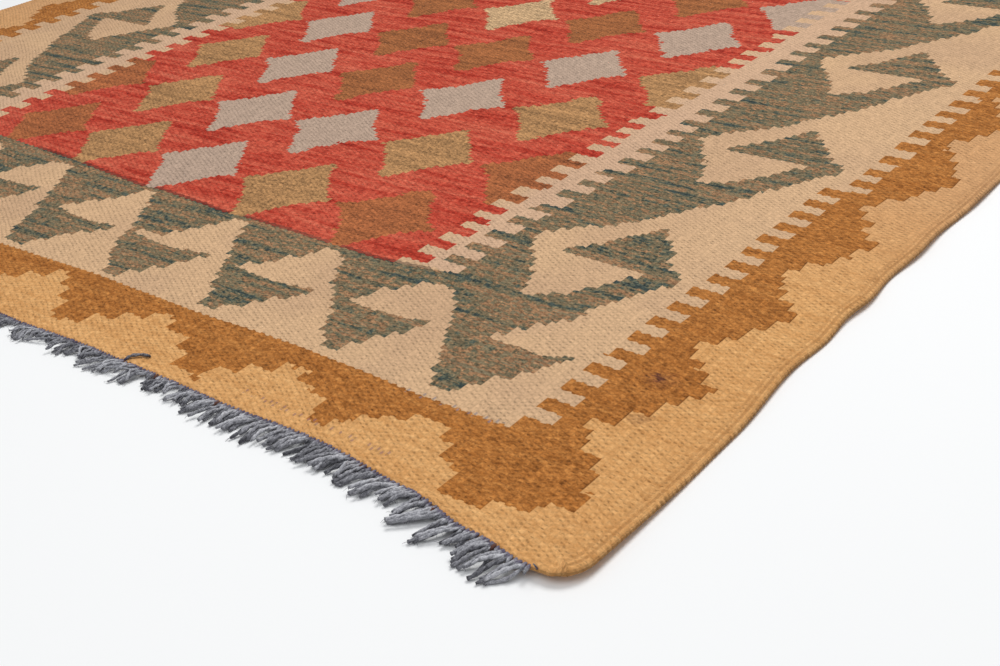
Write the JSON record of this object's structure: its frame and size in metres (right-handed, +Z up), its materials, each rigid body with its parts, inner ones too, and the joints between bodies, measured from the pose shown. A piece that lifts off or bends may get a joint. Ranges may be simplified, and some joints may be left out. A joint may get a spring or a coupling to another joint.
{
  "type": "flat-woven kilim rug",
  "caption": "Flat-woven wool kilim rug with a field of stepped diamonds, comb-edged hooked borders, corded selvedges and a short fringe along each end.",
  "frame": {"origin": "middle of the rug's footprint, on the surface it lies on", "axes": "+Y along the warps, from the near fringed end to the far one; +X across, towards the selvedge seen in the picture; +Z up, out of the face of the rug"},
  "size_m": [1.1166, 1.6722, 0.0073],
  "materials": {
    "weave_wool": "matt hand-spun wool, weft-faced tapestry weave in brick red, ochre, gold, beige and mixed green-brown",
    "fringe_wool": "matt twisted wool warp ends, charcoal grey"
  },
  "bodies": {
    "root": {"woven_body": "weave_wool", "fringe_near": "fringe_wool", "fringe_far": "fringe_wool"}
  },
  "joints": []
}
